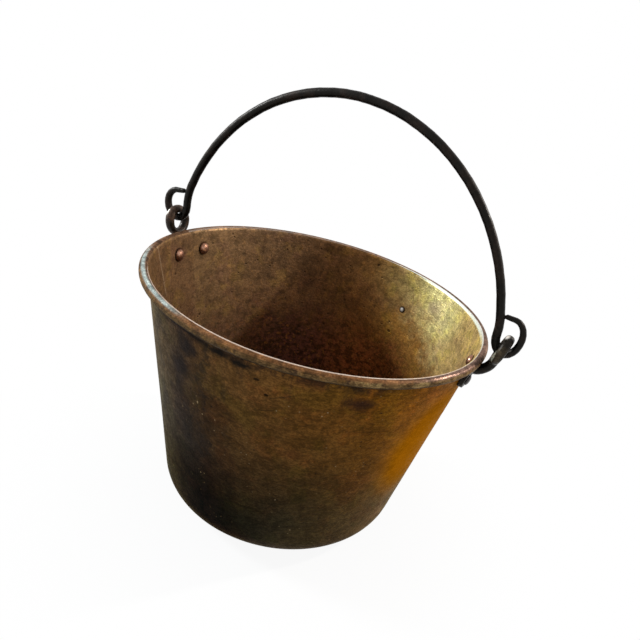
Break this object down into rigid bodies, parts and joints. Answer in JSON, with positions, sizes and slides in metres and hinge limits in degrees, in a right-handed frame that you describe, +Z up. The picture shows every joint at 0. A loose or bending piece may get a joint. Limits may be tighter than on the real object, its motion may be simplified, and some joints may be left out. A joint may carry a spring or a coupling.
{
  "type": "brass kettle",
  "caption": "Round brass kettle with tapering wall, rolled rim over a wire, riveted iron ears and a swinging iron bail with open hooks.",
  "frame": {"origin": "middle of the base, on the surface that the kettle stands on", "axes": "+Z up; X runs through the two ears and is the direction of the line that the bail swings about; +Y is the back"},
  "size_m": [0.3463, 0.3, 0.376],
  "materials": {
    "old_brass": "spun, aged brown and mottled",
    "wire_iron": "plain iron wire",
    "ear_iron": "forged, dark with worn edges",
    "rivet_copper": "hammered copper, dull",
    "patch_tin": "grey soft metal, dull",
    "bail_iron": "forged, nearly black"
  },
  "bodies": {
    "kettle": {"kettle_body": "old_brass", "rim_wire": "wire_iron", "ear_right": "ear_iron", "ear_left": "ear_iron", "ear_rivet_right_front": "rivet_copper", "ear_rivet_right_back": "rivet_copper", "ear_rivet_left_front": "rivet_copper", "ear_rivet_left_back": "rivet_copper", "patch_rivet": "patch_tin"},
    "bail": {"bail": "bail_iron"}
  },
  "joints": [
    {"name": "bail_swing", "type": "hinge", "parent": "kettle", "child": "bail", "pos_m": [0, 0, 0.2293], "axis": [1, 0, 0], "range_deg": [-91, 91]}
  ]
}
